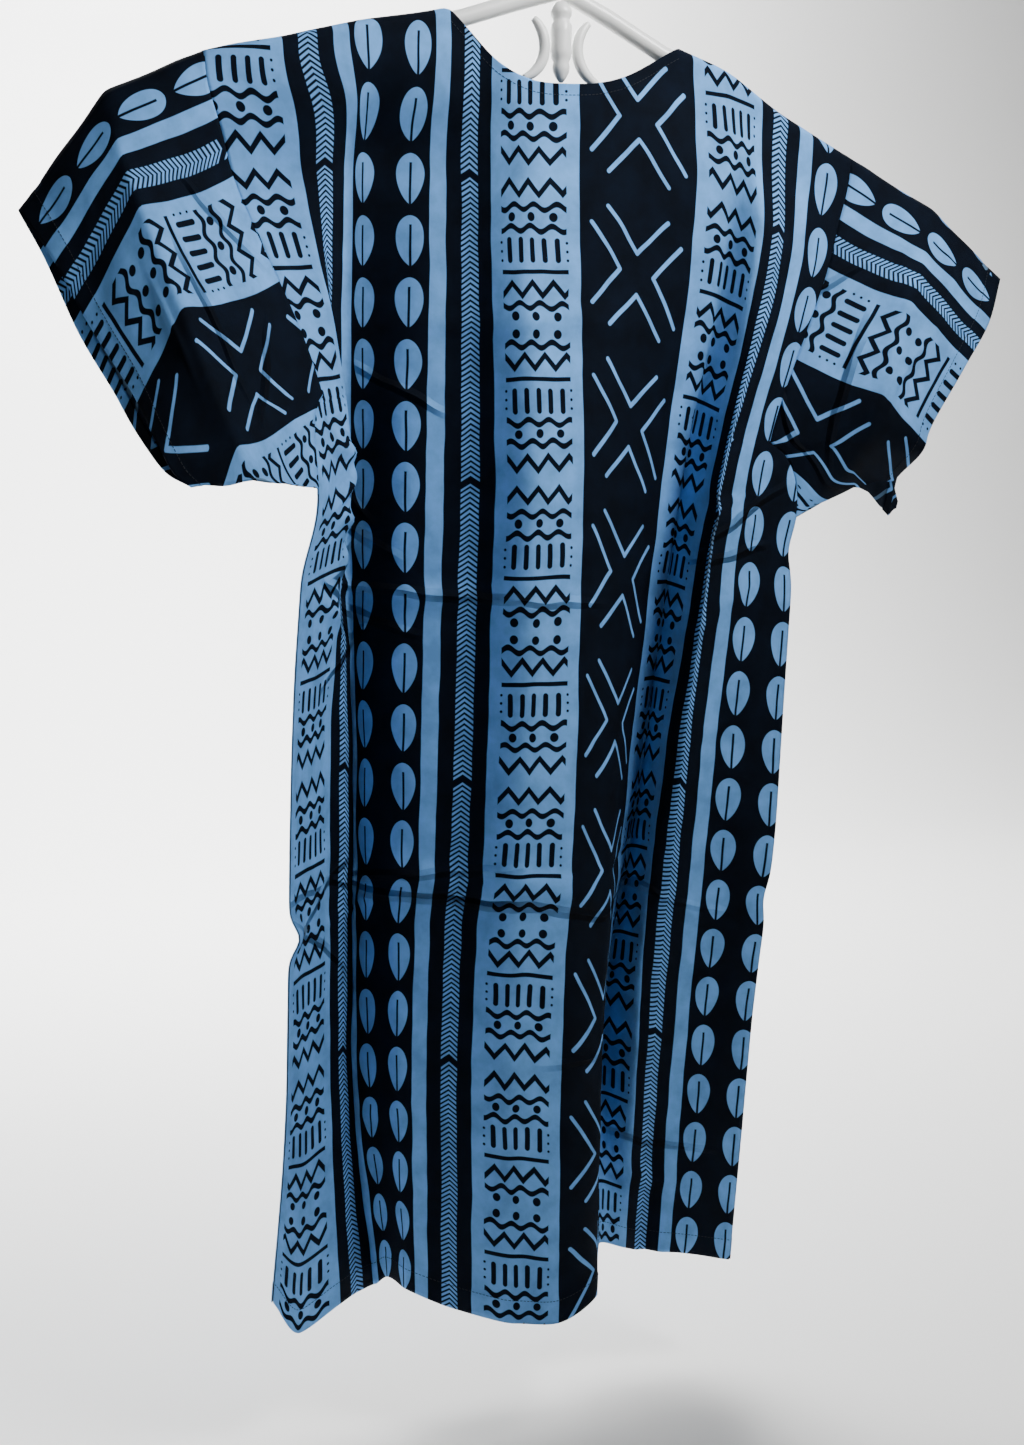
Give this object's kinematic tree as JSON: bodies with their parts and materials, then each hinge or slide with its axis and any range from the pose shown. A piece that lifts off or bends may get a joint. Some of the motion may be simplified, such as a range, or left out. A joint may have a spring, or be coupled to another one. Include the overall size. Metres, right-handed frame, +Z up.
{
  "type": "dashiki shirt on hanger",
  "caption": "Loose short-sleeved cotton tunic with a scooped neck and set-in sleeves, hung empty on a painted rod hanger with a hook.",
  "frame": {"origin": "inner top of the hanger's hook, where a rail or peg carries it", "axes": "+Z up along the hook's shank, -Y out of the front of the garment, +X towards the wearer's left sleeve"},
  "size_m": [0.8647, 0.2746, 1.2587],
  "materials": {
    "cloth": "matt woven cotton with a blue print",
    "hanger": "satin white paint"
  },
  "bodies": {
    "root": {"front_panel": "cloth", "back_panel": "cloth", "sleeve_near": "cloth", "sleeve_far": "cloth", "hanger_frame": "hanger", "hanger_stem": "hanger", "hanger_scroll_near": "hanger", "hanger_scroll_far": "hanger"}
  },
  "joints": []
}
